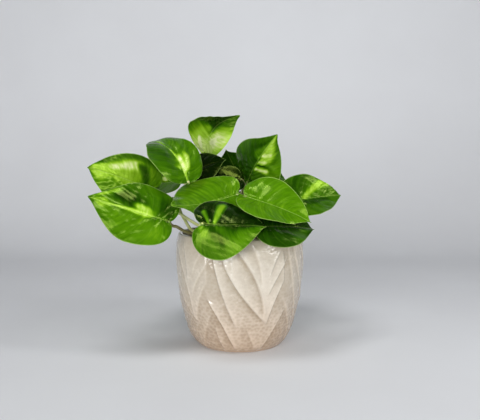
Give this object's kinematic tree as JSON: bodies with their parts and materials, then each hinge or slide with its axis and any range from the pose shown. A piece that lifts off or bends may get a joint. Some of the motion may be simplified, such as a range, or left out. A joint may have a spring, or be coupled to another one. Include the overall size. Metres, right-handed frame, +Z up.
{
  "type": "potted pothos plant",
  "caption": "Leafy pothos plant with glossy, heart-shaped variegated leaves on long stalks, growing in a round glazed pot with a moulded leaf relief.",
  "frame": {"origin": "middle of the pot's foot, on the surface that it stands on", "axes": "+Z up along the pot's axis; -Y towards the front, the side that shows best; +X to the right seen from the front"},
  "size_m": [0.2943, 0.2386, 0.2673],
  "materials": {
    "pot": "glossy crackled glaze",
    "soil": "damp, crumbly and matte",
    "stem": "smooth, fleshy and slightly glossy",
    "leaf": "waxy and glossy, variegated with lime"
  },
  "bodies": {
    "root": {"pot": "pot", "soil": "soil", "vine_1": "stem", "vine_2": "stem", "vine_3": "stem", "vine_4": "stem", "vine_5": "stem", "vine_6": "stem", "leaf_01": "leaf", "leaf_02": "leaf", "leaf_03": "leaf", "leaf_04": "leaf", "leaf_05": "leaf", "leaf_06": "leaf", "leaf_07": "leaf", "leaf_08": "leaf", "leaf_09": "leaf", "leaf_10": "leaf", "leaf_11": "leaf", "leaf_12": "leaf", "leaf_13": "leaf", "leaf_14": "leaf", "leaf_15": "leaf", "leaf_16": "leaf", "leaf_17": "leaf", "leaf_18": "leaf", "leaf_19": "leaf", "leaf_20": "leaf", "leaf_21": "leaf", "leaf_22": "leaf"}
  },
  "joints": []
}
